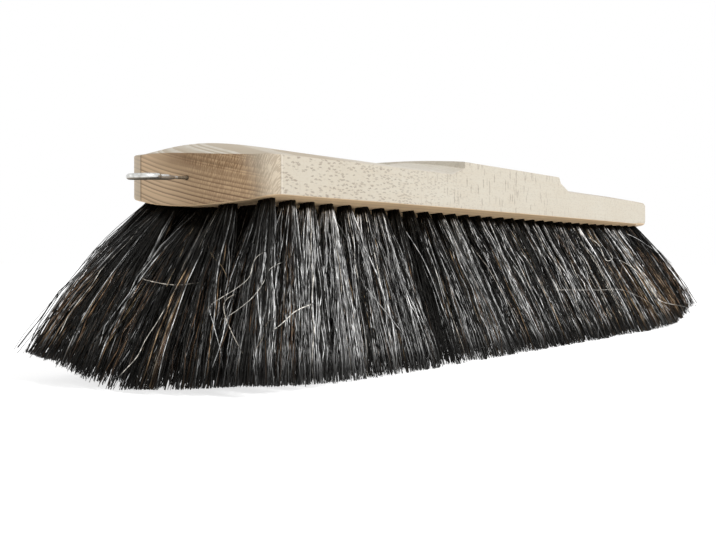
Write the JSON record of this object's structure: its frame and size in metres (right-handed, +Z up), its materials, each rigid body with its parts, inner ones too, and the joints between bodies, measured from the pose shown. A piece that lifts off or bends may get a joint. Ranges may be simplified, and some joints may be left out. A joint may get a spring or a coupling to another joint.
{
  "type": "floor brush",
  "caption": "Saddle-backed hardwood broom head with splayed dark hair in staggered rows, a slanted handle socket in the saddle and a steel screw eye at one end.",
  "frame": {"origin": "on the floor under the middle of the brush, level with the bristle tips", "axes": "+X along the block, away from the hanging eye; +Y across it; +Z up, out of the saddle's top"},
  "size_m": [0.48, 0.1018, 0.0774],
  "materials": {
    "beech": "bare planed hardwood",
    "horsehair": "glossy black animal hair",
    "zinc_steel": "zinc-plated wire"
  },
  "bodies": {
    "root": {"wood_block": "beech", "hanging_eye": "zinc_steel", "hair_row_1_bar_01": "horsehair", "hair_row_1_bar_02": "horsehair", "hair_row_1_bar_03": "horsehair", "hair_row_1_bar_04": "horsehair", "hair_row_1_bar_05": "horsehair", "hair_row_1_bar_06": "horsehair", "hair_row_1_bar_07": "horsehair", "hair_row_1_bar_08": "horsehair", "hair_row_1_bar_09": "horsehair", "hair_row_1_bar_10": "horsehair", "hair_row_2_bar_01": "horsehair", "hair_row_2_bar_02": "horsehair", "hair_row_2_bar_03": "horsehair", "hair_row_2_bar_04": "horsehair", "hair_row_2_bar_05": "horsehair", "hair_row_2_bar_06": "horsehair", "hair_row_2_bar_07": "horsehair", "hair_row_2_bar_08": "horsehair", "hair_row_2_bar_09": "horsehair", "hair_row_2_bar_10": "horsehair", "hair_row_3_bar_01": "horsehair", "hair_row_3_bar_02": "horsehair", "hair_row_3_bar_03": "horsehair", "hair_row_3_bar_04": "horsehair", "hair_row_3_bar_05": "horsehair", "hair_row_3_bar_06": "horsehair", "hair_row_3_bar_07": "horsehair", "hair_row_3_bar_08": "horsehair", "hair_row_3_bar_09": "horsehair", "hair_row_3_bar_10": "horsehair", "hair_row_4_bar_01": "horsehair", "hair_row_4_bar_02": "horsehair", "hair_row_4_bar_03": "horsehair", "hair_row_4_bar_04": "horsehair", "hair_row_4_bar_05": "horsehair", "hair_row_4_bar_06": "horsehair", "hair_row_4_bar_07": "horsehair", "hair_row_4_bar_08": "horsehair", "hair_row_4_bar_09": "horsehair", "hair_row_4_bar_10": "horsehair", "hair_row_5_bar_01": "horsehair", "hair_row_5_bar_02": "horsehair", "hair_row_5_bar_03": "horsehair", "hair_row_5_bar_04": "horsehair", "hair_row_5_bar_05": "horsehair", "hair_row_5_bar_06": "horsehair", "hair_row_5_bar_07": "horsehair", "hair_row_5_bar_08": "horsehair", "hair_row_5_bar_09": "horsehair", "hair_row_5_bar_10": "horsehair"}
  },
  "joints": []
}
